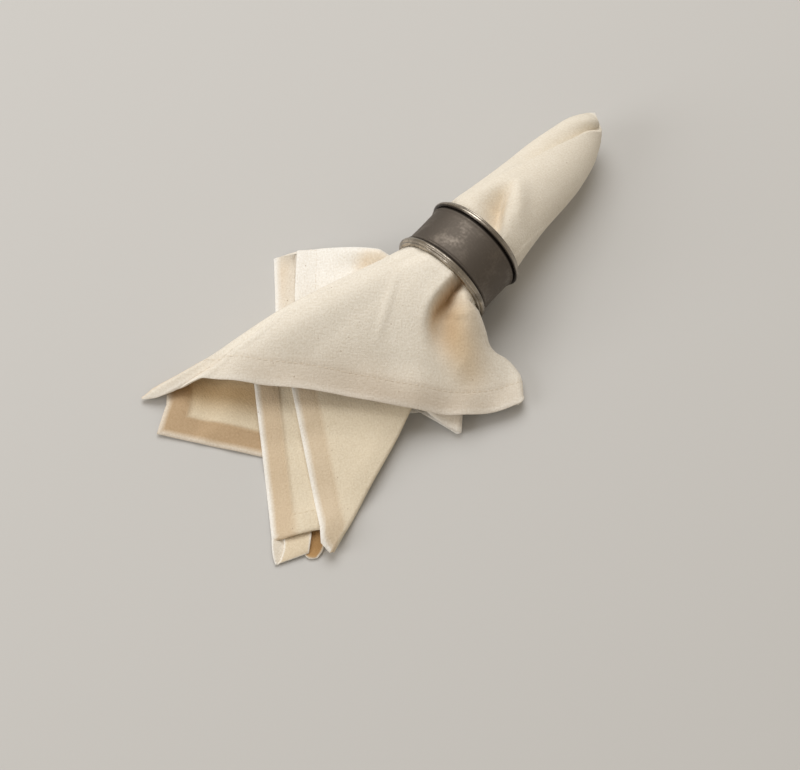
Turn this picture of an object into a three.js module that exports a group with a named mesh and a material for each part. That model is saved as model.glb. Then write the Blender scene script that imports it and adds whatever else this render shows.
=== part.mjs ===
// A square cotton napkin, pinched near its middle and drawn through a metal ring.
// Units are millimetres, +Z is up and the table is at z = 0. The ring's axis runs along X:
// the pinched end points to +X and the open layers fall and spread towards -X.
import * as THREE from 'three';

// Ring
const RING_WIDTH = 24.5;
const RIM_WIRE = 2.8;
const RIM_OUTER_RADIUS = 22;
const BAND_OUTER_RADIUS = 20.6;
const BAND_WALL = 1.2;
const PIECE_GAP = 0.3;
const RING_SIDES = 48;
const WIRE_SIDES = 12;

// Cloth: its thickness, the height from one layer to the next where they lie on the table, the radius of the
// bundle in the ring, and the bundle's two ends.
const SHEET = 1.1;
const LAYER_PITCH = 2.0;
const BUNDLE_RADIUS = 17.95;
const MOUTH_X = -15;
const BACK_X = 15;

// How fine the cloth is: steps along the hem and round a fold, and rows from the hem to the ring's mouth,
// closer together near the mouth.
const HEM_STEP = 11;
const FOLD_STEPS = 4;
const FLARE_ROWS = 11;
const ROW_CROWDING = 1.25;

// Layers are ranked from the top one down.
const TOP_RANK = 0;
const FIRST_PLEAT_RANK = 1;
const LAST_PLEAT_RANK = 5;
const EAR_RANK = 6;
const BOTTOM_RANK = 7;

// The folds, from the right-hand side (-Y) round to the left. side is the way a fold bulges: 1 to the left,
// -1 to the right. angle is the plan direction in which it leaves the ring's mouth, from straight out, and
// bow is how far it bends aside half way. mouth and tip are its Y in the ring and in the pinched end, where
// the inner pleats close up, and round and tipRound are how far it bulges there.
const FOLDS = {
  right: { side: -1, angle: -77.5, bow: 0, mouth: -16.0, tip: -16.0, round: 1.7, tipRound: 1.7 },
  rightInner: { side: -1, angle: -39, bow: 0, mouth: -13.9, tip: 4.0, round: 1.4, tipRound: 0.6 },
  diagonal: { side: -1, angle: -13.5, bow: 0, mouth: -11.8, tip: 8.6, round: 1.2, tipRound: 0.3 },
  corner: { side: -1, angle: -9, bow: 0, mouth: -11.0, tip: 8.6, round: 1.2, tipRound: 0.3 },
  strip: { side: 1, angle: 20.5, bow: 0, mouth: 11.4, tip: 9.2, round: 1.2, tipRound: 0.3 },
  panel: { side: 1, angle: 20.5, bow: 0, mouth: 11.4, tip: 9.2, round: 1.2, tipRound: 0.3 },
  ridge: { side: 1, angle: 23.5, bow: 0, mouth: 14.0, tip: 14.2, round: 1.7, tipRound: 0.8 },
  ear: { side: 1, angle: 61, bow: 7, mouth: 15.2, tip: 15.2, round: 0.8, tipRound: 0.8 },
};

// The layers in the order in which the cloth runs round. hem lists the bends of the layer's edge in plan
// (x, y from the ring's centre); its two ends lie on the folds, at the given reach from the mouth.
const LAYERS = [
  {
    rank: 0, from: 'ridge', to: 'right', fromReach: 116, toReach: 38.5,
    hem: [[-112, 54], [-102, 46], [-90, 26], [-75, 2], [-60, -23], [-46, -41], [-34, -50]],
  },
  { rank: 7, from: 'right', to: 'ear', fromReach: 36, toReach: 55, hem: [[-110, 30], [-60, 47]] },
  {
    rank: 6, from: 'ear', to: 'rightInner', fromReach: 45, toReach: 44,
    hem: [[-51, 44], [-106, -12], [-60, -25]],
  },
  { rank: 1, from: 'rightInner', to: 'panel', fromReach: 44, toReach: 58, hem: [[-55, -24]] },
  { rank: 2, from: 'panel', to: 'diagonal', fromReach: 58, toReach: 105, hem: [[-114, -27]] },
  { rank: 3, from: 'diagonal', to: 'strip', fromReach: 107, toReach: 72, hem: [[-136, -24]] },
  { rank: 4, from: 'strip', to: 'corner', fromReach: 72, toReach: 80, hem: [] },
  { rank: 5, from: 'corner', to: 'ridge', fromReach: 80, toReach: 114, hem: [[-128, 47], [-116, 53]] },
];

// A bowed fold is straight again this far from the mouth.
const BOW_LENGTH = 55;

// A layer sinks over this width where the edge of a layer under it ends.
const EDGE_FADE = 16;

// The bottom layer falls from the ring to the table over this length, and each layer above it takes longer.
const BOTTOM_FALL = 16;
const FALL_PER_LAYER = 6;

// Out in the spread a fold is as round as its two layers are apart, between these limits. It opens to that
// over a length from the mouth.
const ROUND_LEAST = 0.9;
const ROUND_MOST = 3;
const ROUND_OPENS = 20;

// How the top layer stands above the others, by plan angle: lift at its hem, and the power by which it
// falls from the ring's mouth to the hem.
const TOP_DRAPE = [
  { angle: -80, lift: 3, fall: 3.2 },
  { angle: -60, lift: 4, fall: 2.0 },
  { angle: -39, lift: 4, fall: 1.6 },
  { angle: -13, lift: 3, fall: 1.5 },
  { angle: 12, lift: 7, fall: 1.4 },
  { angle: 20.5, lift: 11, fall: 1.2 },
  { angle: 23.5, lift: 1, fall: 1.0 },
];

// The valley gathered into the top layers in front of the ring, along a plan line. It starts before the line,
// by a share of its length.
const GATHER = { from: { x: -14, y: -7 }, to: { x: -40, y: -29 }, width: 3, depth: 8, lead: 1 / 3 };

// The layer that makes the ear stays puffed up for longer, past the ridge fold, over a span of angles.
const EAR_PUFF = 30;
const EAR_PUFF_SPAN = 20;

// Sections of the pinched end: half width, half height, the middle of the section, and its twist in degrees.
const TIP_SECTIONS = [
  { x: 15, wide: 17.95, high: 17.95, midY: 0, midZ: 22, turn: 2 },
  { x: 28, wide: 16.3, high: 15.8, midY: 0.2, midZ: 19.6, turn: 8 },
  { x: 45, wide: 14.6, high: 13.4, midY: 0.8, midZ: 17, turn: 24 },
  { x: 62, wide: 13.0, high: 11.6, midY: 1.4, midZ: 15.2, turn: 44 },
  { x: 74, wide: 11.4, high: 10.2, midY: 1.0, midZ: 14.2, turn: 54 },
  { x: 83, wide: 9.0, high: 8.6, midY: 0, midZ: 13.6, turn: 58 },
  { x: 88.5, wide: 6.0, high: 6.0, midY: -0.8, midZ: 13.6, turn: 58 },
];
const TIP_END_X = 90.5;
const TIP_ROWS = 11;
const TIP_SINKS = 10;

// What the inner pleats do along the pinched end. They close up side by side, pull out to one leaning wall
// from its top to its foot, level out, and part to a groove.
const PLEATS_CLOSED_X = 43;
const PLEATS_LEAN = { from: 37, to: 50 };
const PLEATS_LEVEL = { from: 50, to: 66 };
const PLEATS_PART = { from: 62, to: 82 };
const LEAN_TOP_Y = 5.4;
const LEAN_FOOT_Y = 12.4;
const TIP_GROOVE = { y: 10.5, z: 1.5 };

const RING_HEIGHT = RIM_OUTER_RADIUS * Math.cos(Math.PI / RING_SIDES);
const DEGREE = Math.PI / 180;
const HALVINGS = 40;

const mix = (a, b, t) => a + (b - a) * t;
const clamp01 = (t) => Math.min(1, Math.max(0, t));
const smooth = (t) => clamp01(t) ** 2 * (3 - 2 * clamp01(t));

// Reads a column of a table of rows at a value of its key column, in straight lines between rows.
function readTable(rows, key, column, value) {
  if (value <= rows[0][key]) return rows[0][column];
  for (let i = 1; i < rows.length; i += 1) {
    if (value <= rows[i][key]) {
      const t = (value - rows[i - 1][key]) / (rows[i][key] - rows[i - 1][key]);
      return mix(rows[i - 1][column], rows[i][column], t);
    }
  }
  return rows[rows.length - 1][column];
}

// The fan of fold lines from right to left. Folds that leave the mouth at one angle count once.
const FAN = Object.values(FOLDS)
  .filter((fold, i, all) => all.findIndex((other) => other.angle === fold.angle) === i)
  .sort((a, b) => a.angle - b.angle);

// How far aside a fan line bends at a distance from the ring's mouth.
function fanBow(angle, distance) {
  const s = clamp01(distance / BOW_LENGTH);
  return readTable(FAN, 'angle', 'bow', angle) * 4 * s * (1 - s);
}

// Plan point on the fan line of this angle, at a distance from the ring's mouth.
function fanPoint(angle, distance) {
  const a = angle * DEGREE;
  const bow = fanBow(angle, distance);
  return {
    x: MOUTH_X - distance * Math.cos(a) + bow * Math.sin(a),
    y: readTable(FAN, 'angle', 'mouth', angle) + distance * Math.sin(a) + bow * Math.cos(a),
  };
}

// The fan line that passes over a plan point.
function fanLine(x, y) {
  let low = FAN[0].angle;
  let high = FAN[FAN.length - 1].angle;
  let reach = 0;
  for (let i = 0; i < HALVINGS; i += 1) {
    const angle = (low + high) / 2;
    const start = fanPoint(angle, 0);
    const along = Math.cos(angle * DEGREE);
    const aside = Math.sin(angle * DEGREE);
    reach = (y - start.y) * aside - (x - start.x) * along;
    const side = (y - start.y) * along + (x - start.x) * aside - fanBow(angle, reach);
    if (side > 0) low = angle;
    else high = angle;
  }
  return { angle: low, reach };
}

// Points along a layer's hem, each as an angle and a reach on the fan.
function hemPoints(layer) {
  const from = fanPoint(FOLDS[layer.from].angle, layer.fromReach);
  const to = fanPoint(FOLDS[layer.to].angle, layer.toReach);
  const bends = [from, ...layer.hem.map(([x, y]) => ({ x, y })), to];
  const points = [{ angle: FOLDS[layer.from].angle, reach: layer.fromReach }];
  for (let i = 1; i < bends.length; i += 1) {
    const length = Math.hypot(bends[i].x - bends[i - 1].x, bends[i].y - bends[i - 1].y);
    const steps = Math.max(1, Math.round(length / HEM_STEP));
    for (let s = 1; s <= steps; s += 1) {
      const t = s / steps;
      points.push(fanLine(mix(bends[i - 1].x, bends[i].x, t), mix(bends[i - 1].y, bends[i].y, t)));
    }
  }
  points[points.length - 1] = { angle: FOLDS[layer.to].angle, reach: layer.toReach };
  return points;
}

// Each layer's hem, in the order of the table, and again by rank with its points from right to left.
const HEMS = LAYERS.map(hemPoints);
const HEM_BY_ANGLE = new Map(
  LAYERS.map((layer, i) => [layer.rank, [...HEMS[i]].sort((a, b) => a.angle - b.angle)]),
);

// 1 where a layer lies, fading to 0 over a short way outside its folds and hem.
function cover(rank, angle, distance) {
  const hem = HEM_BY_ANGLE.get(rank);
  const first = hem[0].angle;
  const last = hem[hem.length - 1].angle;
  const beside = Math.max(first - angle, angle - last, 0) * DEGREE * distance;
  const beyond = Math.max(distance - readTable(hem, 'angle', 'reach', angle), 0);
  return smooth(1 - beside / EDGE_FADE) * smooth(1 - beyond / EDGE_FADE);
}

// Height at which a layer rests on all the layers under it.
function restHeight(rank, angle, distance) {
  let height = SHEET / 2;
  for (let under = rank + 1; under <= BOTTOM_RANK; under += 1) {
    height += LAYER_PITCH * cover(under, angle, distance);
  }
  return height;
}

// Height of a layer in the ring, where the layers fill a round bundle.
function bundleHeight(rank, y) {
  return (1 - (2 * rank) / BOTTOM_RANK) * Math.sqrt(BUNDLE_RADIUS ** 2 - y ** 2);
}

// Height of a layer in the spread, from the ring's mouth (u = 0) to its hem (u = 1).
function spreadHeight(rank, angle, distance, u) {
  const atMouth = RING_HEIGHT + bundleHeight(rank, readTable(FAN, 'angle', 'mouth', angle));
  const rest = restHeight(rank, angle, distance);
  if (rank === TOP_RANK) {
    const lift = readTable(TOP_DRAPE, 'angle', 'lift', angle);
    const fall = readTable(TOP_DRAPE, 'angle', 'fall', angle);
    return mix(rest + lift, atMouth, (1 - u) ** fall);
  }
  const pastRidge = smooth((angle - FOLDS.ridge.angle) / EAR_PUFF_SPAN);
  const puffed = rank === EAR_RANK ? EAR_PUFF * pastRidge : 0;
  const fallLength = BOTTOM_FALL + FALL_PER_LAYER * (BOTTOM_RANK - rank) + puffed;
  return mix(rest, atMouth, (1 - clamp01(distance / fallLength)) ** 2);
}

// How deep the gathered valley in front of the ring is at a plan point.
function gatherDepth(x, y) {
  const { from, to, width, depth, lead } = GATHER;
  const dx = to.x - from.x;
  const dy = to.y - from.y;
  const length = Math.hypot(dx, dy);
  const along = ((x - from.x) * dx + (y - from.y) * dy) / length ** 2;
  const aside = ((x - from.x) * dy - (y - from.y) * dx) / length;
  const spread = width * (1 + clamp01(along));
  const ends = smooth(1 - along) * smooth(1 + along / lead);
  return depth * ends * Math.exp(-((aside / spread) ** 2));
}

// One column for each place round the cloth's loop: a place on a layer, or a step round the fold that
// leads to the next layer. share is its place across the layer, from one fold to the other.
function loopColumns() {
  const columns = [];
  LAYERS.forEach((layer, i) => {
    const from = FOLDS[layer.from];
    const fold = FOLDS[layer.to];
    const next = LAYERS[(i + 1) % LAYERS.length];
    HEMS[i].forEach((point, h) => {
      const mouthY = readTable(FAN, 'angle', 'mouth', point.angle);
      const share = (mouthY - from.mouth) / (fold.mouth - from.mouth);
      const evenShare = h / (HEMS[i].length - 1);
      columns.push({ ...point, layer, share, evenShare, fold: null });
    });
    for (let s = 1; s < FOLD_STEPS; s += 1) {
      const turn = s / FOLD_STEPS;
      const reach = mix(layer.toReach, next.fromReach, turn);
      columns.push({ angle: fold.angle, reach, layer, share: 1, evenShare: 1, fold, turn, next });
    }
  });
  return columns;
}

// Where a column passes at a share u of its way from the ring's mouth to the hem.
function spreadPoint(column, u) {
  const distance = column.reach * u;
  const plan = fanPoint(column.angle, distance);
  const valley = gatherDepth(plan.x, plan.y);
  const heightOf = ({ rank }) => {
    const sunk = valley * (1 - rank / BOTTOM_RANK);
    return spreadHeight(rank, column.angle, distance, u) - sunk;
  };
  const height = heightOf(column.layer);
  if (!column.fold) return new THREE.Vector3(plan.x, plan.y, height);
  const nextHeight = heightOf(column.next);
  const apart = Math.abs(height - nextHeight);
  const spreadRound = Math.min(ROUND_MOST, Math.max(ROUND_LEAST, apart / 2));
  const round = mix(column.fold.round, spreadRound, smooth(distance / ROUND_OPENS));
  const out = column.fold.side * round * Math.sin(Math.PI * column.turn);
  const a = column.angle * DEGREE;
  return new THREE.Vector3(
    plan.x + out * Math.sin(a),
    plan.y + out * Math.cos(a),
    mix(height, nextHeight, (1 - Math.cos(Math.PI * column.turn)) / 2),
  );
}

// Where a column passes through the round bundle, from the bundle's middle. closed says how far the inner
// pleats have closed up, from 0 in the ring to 1.
function bundlePoint(column, closed) {
  const foldY = (fold) => mix(fold.mouth, fold.tip, closed);
  const share = mix(column.share, column.evenShare, closed);
  const y = mix(foldY(FOLDS[column.layer.from]), foldY(FOLDS[column.layer.to]), share);
  const z = bundleHeight(column.layer.rank, y);
  if (!column.fold) return { y, z };
  const nextZ = bundleHeight(column.next.rank, y);
  const round = mix(column.fold.round, column.fold.tipRound, closed);
  return {
    y: y + column.fold.side * round * Math.sin(Math.PI * column.turn),
    z: mix(z, nextZ, (1 - Math.cos(Math.PI * column.turn)) / 2),
  };
}

// Where the columns of the ear's lobe end up: on a curve from the ear's fold in to the groove.
function lobeTargets(lobe, ear) {
  const earAngle = Math.atan2(ear.z, ear.y);
  const grooveAngle = Math.atan2(TIP_GROOVE.z, TIP_GROOVE.y);
  const grooveRadius = Math.hypot(TIP_GROOVE.y, TIP_GROOVE.z);
  return lobe.map((column, i) => {
    const t = (i + 1) / (lobe.length + 1);
    const angle = mix(earAngle, grooveAngle, t);
    const radius = mix(BUNDLE_RADIUS, grooveRadius, smooth(t));
    return [column, { parted: { y: radius * Math.cos(angle), z: radius * Math.sin(angle) } }];
  });
}

// Where the columns of the inner pleats pass: on the leaning wall, and then on the groove's side.
function innerTargets(inner) {
  const at = (y, rank) => ({ y, z: bundleHeight(rank, y) });
  const between = (a, b, t) => ({ y: mix(a.y, b.y, t), z: mix(a.z, b.z, t) });
  const wall = [
    at(FOLDS.rightInner.tip, EAR_RANK),
    at(FOLDS.rightInner.tip, FIRST_PLEAT_RANK),
    at(LEAN_TOP_Y, FIRST_PLEAT_RANK),
    at(LEAN_FOOT_Y, LAST_PLEAT_RANK),
    at(FOLDS.ridge.tip, LAST_PLEAT_RANK),
    at(FOLDS.ridge.tip, TOP_RANK),
  ];
  const stretchOf = ({ layer, fold }) => {
    if (layer.rank === EAR_RANK) return 0;
    if (layer.rank === FIRST_PLEAT_RANK && !fold) return 1;
    if (layer.rank < LAST_PLEAT_RANK) return 2;
    return fold ? 4 : 3;
  };
  return inner.map((column, i) => {
    const stretch = stretchOf(column);
    const mates = inner.filter((other) => stretchOf(other) === stretch);
    const t = (mates.indexOf(column) + 0.5) / mates.length;
    const leaning = between(wall[stretch], wall[stretch + 1], t);
    const parted = between(TIP_GROOVE, wall.at(-1), i / inner.length);
    return [column, { leaning, parted }];
  });
}

function pleatTargets(columns) {
  const first = columns.findIndex((column) => column.layer.rank === BOTTOM_RANK && column.fold);
  const last = columns.findLastIndex((column) => column.layer.rank === EAR_RANK && !column.fold);
  const ear = bundlePoint(columns[first - 1], 1);
  return new Map([
    ...lobeTargets(columns.slice(first, last + 1), ear),
    ...innerTargets(columns.slice(last + 1)),
  ]);
}

function movePoint(point, to, shareY, shareZ) {
  if (!to) return;
  point.y = mix(point.y, to.y, shareY);
  point.z = mix(point.z, to.z, shareZ);
}

// Where a column passes at a place along the pinched end.
function tipPoint(column, target, x) {
  const stage = ({ from, to }) => smooth((x - from) / (to - from));
  const section = bundlePoint(column, stage({ from: BACK_X, to: PLEATS_CLOSED_X }));
  movePoint(section, target?.leaning, stage(PLEATS_LEAN), stage(PLEATS_LEAN));
  movePoint(section, target?.parted, stage(PLEATS_PART), stage(PLEATS_LEVEL));
  const read = (name) => readTable(TIP_SECTIONS, 'x', name, x);
  const turn = read('turn') * clamp01((x - MOUTH_X) / (BACK_X - MOUTH_X)) * DEGREE;
  const y = section.y * Math.cos(turn) - section.z * Math.sin(turn);
  const z = section.y * Math.sin(turn) + section.z * Math.cos(turn);
  const middleZ = mix(RING_HEIGHT, read('midZ'), clamp01((x - BACK_X) / TIP_SINKS));
  return new THREE.Vector3(
    x,
    read('midY') + (y * read('wide')) / BUNDLE_RADIUS,
    middleZ + (z * read('high')) / BUNDLE_RADIUS,
  );
}

// The cloth's middle surface: rows of points from the hem, through the ring, to the pinched end.
function napkinRows() {
  const columns = loopColumns();
  const targets = pleatTargets(columns);
  const rows = [];
  for (let i = FLARE_ROWS; i >= 0; i -= 1) {
    const u = (i / FLARE_ROWS) ** ROW_CROWDING;
    rows.push(columns.map((column) => spreadPoint(column, u)));
  }
  const stations = [0, BACK_X];
  for (let i = 1; i <= TIP_ROWS; i += 1) {
    stations.push(mix(BACK_X, TIP_SECTIONS.at(-1).x, i / TIP_ROWS));
  }
  stations.forEach((x) => rows.push(columns.map((column) => tipPoint(column, targets.get(column), x))));
  return rows;
}

// A closed solid of even thickness about rows of points that run round a loop, shut at the last row.
function thickSheet(rows, end, thickness) {
  const across = rows[0].length;
  const down = rows.length;
  const middle = rows.flat();
  middle.push(end);
  const last = middle.length - 1;
  const faces = [];
  for (let j = 0; j < down; j += 1) {
    for (let i = 0; i < across; i += 1) {
      const a = j * across + i;
      const b = j * across + ((i + 1) % across);
      if (j === down - 1) {
        faces.push([a, b, last]);
      } else {
        faces.push([a, b, b + across], [a, b + across, a + across]);
      }
    }
  }
  const normals = middle.map(() => new THREE.Vector3());
  const ab = new THREE.Vector3();
  const ac = new THREE.Vector3();
  faces.forEach(([a, b, c]) => {
    ab.subVectors(middle[b], middle[a]);
    ac.subVectors(middle[c], middle[a]);
    const normal = ab.cross(ac);
    [a, b, c].forEach((v) => normals[v].add(normal));
  });
  normals.forEach((normal) => normal.normalize());
  const positions = [];
  [0.5, -0.5].forEach((side) => {
    middle.forEach((point, i) => {
      const moved = point.clone().addScaledVector(normals[i], side * thickness);
      positions.push(moved.x, moved.y, moved.z);
    });
  });
  const count = middle.length;
  const index = [];
  faces.forEach(([a, b, c]) => index.push(a, b, c, a + count, c + count, b + count));
  for (let i = 0; i < across; i += 1) {
    const next = (i + 1) % across;
    index.push(next, i, i + count, next, i + count, next + count);
  }
  const geometry = new THREE.BufferGeometry();
  geometry.setAttribute('position', new THREE.Float32BufferAttribute(positions, 3));
  geometry.setIndex(index);
  geometry.computeVertexNormals();
  return geometry;
}

function napkinGeometry() {
  const end = new THREE.Vector3(TIP_END_X, TIP_SECTIONS.at(-1).midY, TIP_SECTIONS.at(-1).midZ);
  return thickSheet(napkinRows(), end, SHEET);
}

// A ring turned from a closed profile of (radius, along the axis), standing with a flat side down.
function turnedRing(profile) {
  const points = profile.map(([radius, along]) => new THREE.Vector2(radius, along));
  points.push(points[0].clone());
  const geometry = new THREE.LatheGeometry(points, RING_SIDES, Math.PI / RING_SIDES);
  geometry.rotateZ(-Math.PI / 2);
  geometry.translate(0, 0, RING_HEIGHT);
  return geometry;
}

function bandGeometry() {
  const half = RING_WIDTH / 2 - RIM_WIRE - PIECE_GAP;
  const inner = BAND_OUTER_RADIUS - BAND_WALL;
  return turnedRing([
    [BAND_OUTER_RADIUS, -half],
    [BAND_OUTER_RADIUS, half],
    [inner, half],
    [inner, -half],
  ]);
}

function rimGeometry(end) {
  const wireRadius = RIM_WIRE / 2 / Math.cos(Math.PI / WIRE_SIDES);
  const centreRadius = RIM_OUTER_RADIUS - RIM_WIRE / 2;
  const centreX = end * (RING_WIDTH / 2 - RIM_WIRE / 2);
  const profile = [];
  for (let i = 0; i < WIRE_SIDES; i += 1) {
    const a = ((i + 0.5) / WIRE_SIDES) * 2 * Math.PI;
    profile.push([centreRadius + wireRadius * Math.cos(a), centreX + wireRadius * Math.sin(a)]);
  }
  return turnedRing(profile);
}

const cotton = new THREE.MeshStandardMaterial({ color: 0xd9cdb6, roughness: 0.95, metalness: 0 });
const oldSilver = new THREE.MeshStandardMaterial({ color: 0x74695b, roughness: 0.42, metalness: 1 });
const brightSilver = new THREE.MeshStandardMaterial({ color: 0xb9aea3, roughness: 0.3, metalness: 1 });

function namedMesh(name, geometry, material) {
  const mesh = new THREE.Mesh(geometry, material);
  mesh.name = name;
  return mesh;
}

const assembly = new THREE.Group();
assembly.add(
  namedMesh('napkin', napkinGeometry(), cotton),
  namedMesh('ring_band', bandGeometry(), oldSilver),
  namedMesh('ring_rim_front', rimGeometry(-1), brightSilver),
  namedMesh('ring_rim_back', rimGeometry(1), brightSilver),
);

// The origin lies on the table, under the middle of the whole.
const extent = new THREE.Box3().setFromObject(assembly);
const middle = extent.getCenter(new THREE.Vector3());
assembly.position.set(-middle.x, -middle.y, 0);

const part = new THREE.Group();
part.add(assembly);

export default part;
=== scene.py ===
import math

import bpy
import numpy as np
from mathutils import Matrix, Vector


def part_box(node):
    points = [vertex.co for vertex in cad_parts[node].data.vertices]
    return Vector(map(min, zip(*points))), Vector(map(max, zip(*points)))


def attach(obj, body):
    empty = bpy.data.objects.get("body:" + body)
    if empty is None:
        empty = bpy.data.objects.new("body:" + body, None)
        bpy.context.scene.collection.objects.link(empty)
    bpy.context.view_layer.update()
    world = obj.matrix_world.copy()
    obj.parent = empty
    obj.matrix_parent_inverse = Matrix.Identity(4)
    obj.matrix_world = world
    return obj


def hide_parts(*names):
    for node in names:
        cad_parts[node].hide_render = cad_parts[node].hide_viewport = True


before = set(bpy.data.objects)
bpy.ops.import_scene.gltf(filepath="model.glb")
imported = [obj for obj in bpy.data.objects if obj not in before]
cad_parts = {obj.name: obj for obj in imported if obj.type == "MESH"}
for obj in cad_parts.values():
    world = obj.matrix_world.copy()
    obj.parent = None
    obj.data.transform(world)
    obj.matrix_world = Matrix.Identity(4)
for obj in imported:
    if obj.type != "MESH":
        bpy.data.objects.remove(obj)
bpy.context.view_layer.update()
scene = bpy.context.scene

# Sizes of the cloth and the ring are in millimetres from the point on the table under the ring's centre.
# +X runs along the ring's axis to the pinched end, +Y is to the left and +Z is up.
MM = 0.001
TINY = 1e-9
BAND_LOW, BAND_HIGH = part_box("ring_band")
RING_PLACE = Vector(((BAND_LOW.x + BAND_HIGH.x) / 2, (BAND_LOW.y + BAND_HIGH.y) / 2, 0))
RING_HEIGHT = (BAND_LOW.z + BAND_HIGH.z) / 2 / MM


def table(columns, *rows):
    """Rows of a table as dictionaries with named columns."""
    names = columns.split()
    return [dict(zip(names, row)) for row in rows]


def crease(*rows):
    """A soft trough, or a ridge where depth is below 0, along a plan line, with its width on either side."""
    return table("x y left right depth", *rows)


def column_of(rows, name):
    return np.array([row[name] for row in rows], float)


def mix(a, b, t):
    return a + (b - a) * t


def smooth(t):
    t = np.clip(t, 0, 1)
    return t * t * (3 - 2 * t)


def unit(vectors):
    return vectors / np.maximum(np.linalg.norm(vectors, axis=-1, keepdims=True), TINY)


def rotated(x, y, angle):
    c, s = np.cos(angle), np.sin(angle)
    return x * c - y * s, x * s + y * c


def curve_read(rows, key, name, at):
    """Reads a column along a table's key column, on a smooth curve that doesn't overshoot its rows."""
    keys = column_of(rows, key)
    values = column_of(rows, name)
    step = np.diff(keys)
    rise = np.diff(values) / step
    slope = np.concatenate([rise[:1], np.zeros(len(rise) - 1), rise[-1:]])
    before, after = rise[:-1], rise[1:]
    same = before * after > 0
    slope[1:-1][same] = 2 * before[same] * after[same] / (before[same] + after[same])
    at = np.clip(at, keys[0], keys[-1])
    i = np.clip(np.searchsorted(keys, at, side="right") - 1, 0, len(step) - 1)
    t = (at - keys[i]) / step[i]
    ends = mix(values[i], values[i + 1], t * t * (3 - 2 * t))
    bend = step[i] * t * (1 - t) * ((1 - t) * slope[i] - t * slope[i + 1])
    return ends + bend


# Cloth. The bundle in the ring is round and swells in front of the rim. Layers lie a pitch apart on the
# table, and no cloth comes closer to it than a hair.
CLOTH = 0.8
LAYER_PITCH = 2
HAIR = 0.02
BUNDLE_RADIUS = 18.4
MOUTH_SWELL = 1.08
MOUTH_X = -15
BACK_X = 15
BOTTOM_RANK = 7
EAR_RANK = 6
TOP_RANK = 0

# Turned hem: its width, how much thicker it is on the side it is turned to, how far its edge is rounded,
# and the place and depth of its line of stitches.
HEM_WIDTH = 9.6
HEM_EXTRA = 0.5
HEM_NOSE = 1.3
HEM_NOSE_LEAST = 0.02
HEM_STEP_WIDTH = 1.4
STITCH_INSET = 8.3
STITCH_DIP = 0.1
STITCH_DIP_WIDTH = 0.45
FAR_FROM_HEM = 100

# Folds from the right-hand side (-Y) round to the left. side is the way a fold bulges, angle the plan
# direction in which it leaves the ring's mouth, bow how far it bends aside half way, and mouth and tip its
# Y in the ring and in the pinched end. round, tip_round and most are how far it bulges there and in the
# spread.
FOLD_ROWS = table(
    "name side angle bow mouth tip round tip_round most",
    ("right", -1, -77.5, 0, -17.2, -16.4, 1.7, 1.7, 2.4),
    ("right_inner", -1, -37, 0, -14.6, 4, 1.4, 0.6, 1.1),
    ("diagonal", -1, -13.5, 0, -11.8, 8.6, 1.2, 0.3, 1.1),
    ("corner", -1, -9, 0, -11, 8.6, 1.2, 0.3, 1.5),
    ("strip", 1, 20.5, 0, 11.4, 9.2, 1.2, 0.3, 1.5),
    ("panel", 1, 20.5, 0, 11.4, 9.2, 1.2, 0.3, 1.5),
    ("ridge", 1, 23.1, 0, 14.8, 14.4, 1.7, 0.8, 1.7),
    ("ear", 1, 61, 7, 16.2, 15.6, 0.8, 0.8, 1.2),
)
FOLDS = {row["name"]: row for row in FOLD_ROWS}
FOLD_STEPS = 10
ROUND_LEAST = 0.9
ROUND_OPENS = 20
BOW_LENGTH = 55

# How far aside the right-hand fold lies, by distance from the ring's mouth: it hugs the rim, then spreads.
RIGHT_EDGE = table(
    "distance aside",
    (0, 0), (2.5, -1), (7, -0.7), (11, 0.2), (14, -0.6), (18.5, -2.8), (22, -3.4), (26, -3.2), (30, -1.5),
    (35, 1.6), (40, 2.5),
)

# Layers in the order in which the cloth runs round. rank counts from the top one down, the hem's bends are
# plan places, and its ends lie on the folds at a reach from the mouth. step is how finely the hem is cut up,
# and a curved hem bends softly. grain is the plan direction of the threads in degrees.
LAYERS = table(
    "rank start end start_reach end_reach step curved grain hem",
    (0, "ridge", "right", 115.5, 36.8, 1.3, True, -52,
     [(-117.2, 56.8), (-112.6, 53.8), (-107.8, 51.1), (-101, 45.2), (-90, 25.5), (-75, 2), (-60, -22),
      (-46, -40), (-34, -49.5)]),
    (7, "right", "ear", 35.2, 53.5, 6, False, 20, [(-110, 30), (-59.6, 46)]),
    (6, "ear", "right_inner", 44.5, 44, 3, False, 45, [(-48.5, 45.5), (-80, 4), (-54, -22)]),
    (1, "right_inner", "panel", 44, 58, 4, False, 30, [(-54.6, -23.8)]),
    (2, "panel", "diagonal", 58, 108.8, 2, False, 53, [(-116, -29.1), (-120.4, -33.5)]),
    (3, "diagonal", "strip", 107.5, 72, 2, False, 49, [(-116, -28.8), (-127.9, -20.6), (-131.2, -17.6)]),
    (4, "strip", "corner", 72, 76, 6, False, 40, []),
    (5, "corner", "ridge", 76, 105, 2.4, False, 74, [(-128, 47), (-116.6, 52.6)]),
)
RANKS = np.array([layer["rank"] for layer in LAYERS])
SLANT_MOST = 2.2
SLANT_SPAN = 3
HEM_CURVE_STEPS = 8
HEM_OVERRUN = 14
EDGE_FADE = 16
BOTTOM_FALL = 16
FALL_PER_LAYER = 6
EAR_PUFF = 30
EAR_PUFF_SPAN = 20

# How the top layer stands above the others, by plan angle: its lift at the hem, and the power by which it
# falls from the ring's mouth to the hem.
TOP_DRAPE = table(
    "angle lift fall",
    (-80, 3, 4), (-60, 4, 2), (-39, 4, 1.6), (-13, 2, 1.5), (12, 4, 1.4), (20.3, 9.5, 1.2), (21, 9.5, 1.1),
    (21.5, 6.5, 1), (21.9, 2.5, 1), (22.4, 1.2, 1), (23.1, 1, 1),
)

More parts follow.
